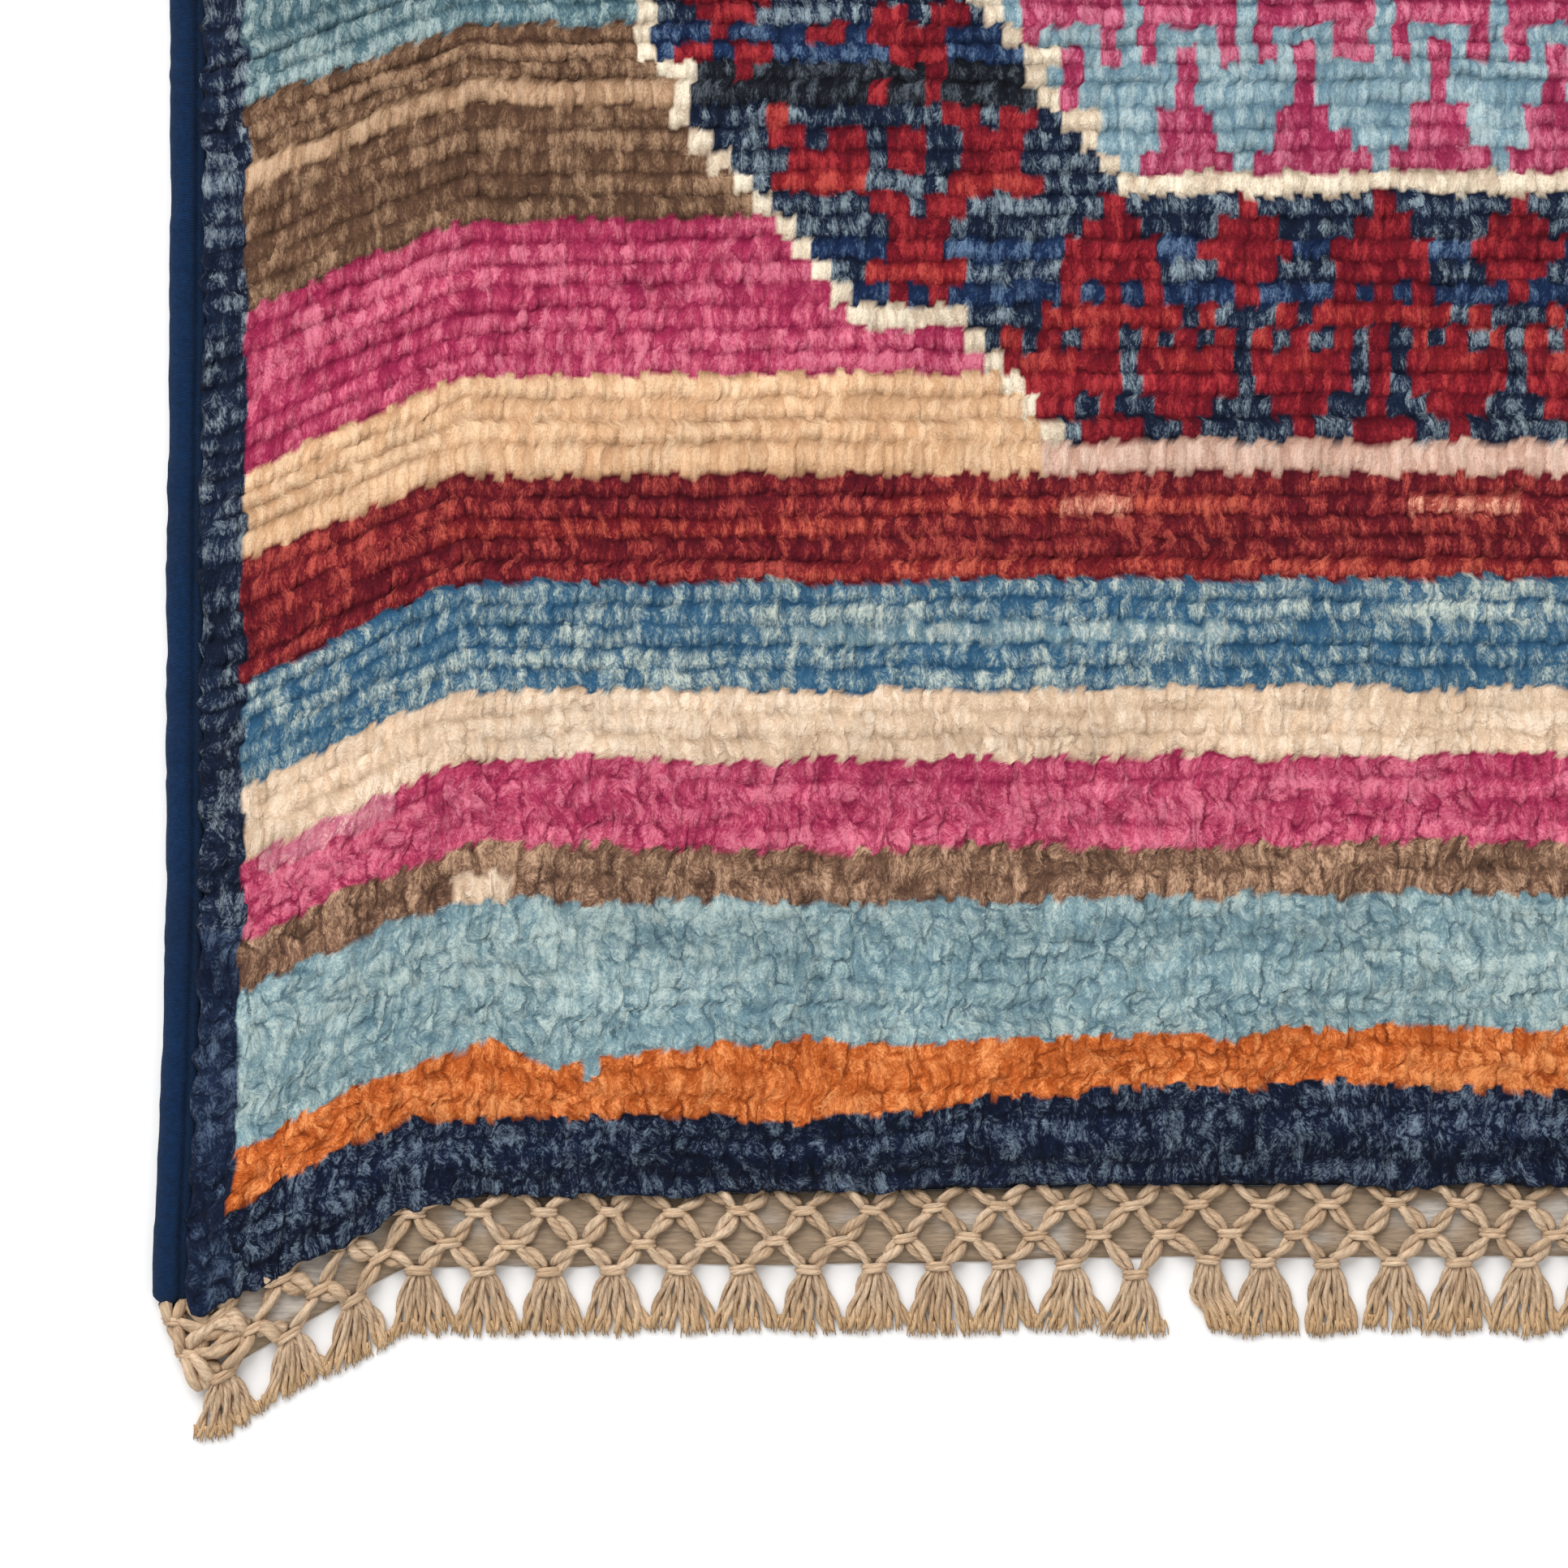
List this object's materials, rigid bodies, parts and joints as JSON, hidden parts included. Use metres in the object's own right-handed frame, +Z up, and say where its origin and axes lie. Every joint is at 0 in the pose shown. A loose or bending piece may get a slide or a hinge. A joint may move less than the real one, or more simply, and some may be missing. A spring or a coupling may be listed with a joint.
{
  "type": "small hand-knotted wool rug with knotted fringe",
  "caption": "Flat knotted pile rug with striped ends, a stepped eight-sided medallion, overcast side cords and a knotted net fringe ending in tassels.",
  "frame": {"origin": "on the floor, under the middle of the rug's whole outline, fringes included", "axes": "+Z up out of the pile, +Y along the rug from its front end to its back end, +X across it to the right"},
  "size_m": [0.606, 0.9086, 0.0085],
  "materials": {
    "pile_wool": "knotted wool pile in many colours, matt with a soft sheen",
    "selvedge_wool": "navy wool overcast tightly round the side cords",
    "warp_cotton": "flat-woven greyish tan cotton",
    "fringe_cotton": "plied tan cotton cords, matt"
  },
  "bodies": {
    "root": {"pile": "pile_wool", "selvedge_left": "selvedge_wool", "selvedge_right": "selvedge_wool", "kilim_end_front": "warp_cotton", "kilim_end_back": "warp_cotton", "fringe_front": "fringe_cotton", "fringe_back": "fringe_cotton"}
  },
  "joints": []
}
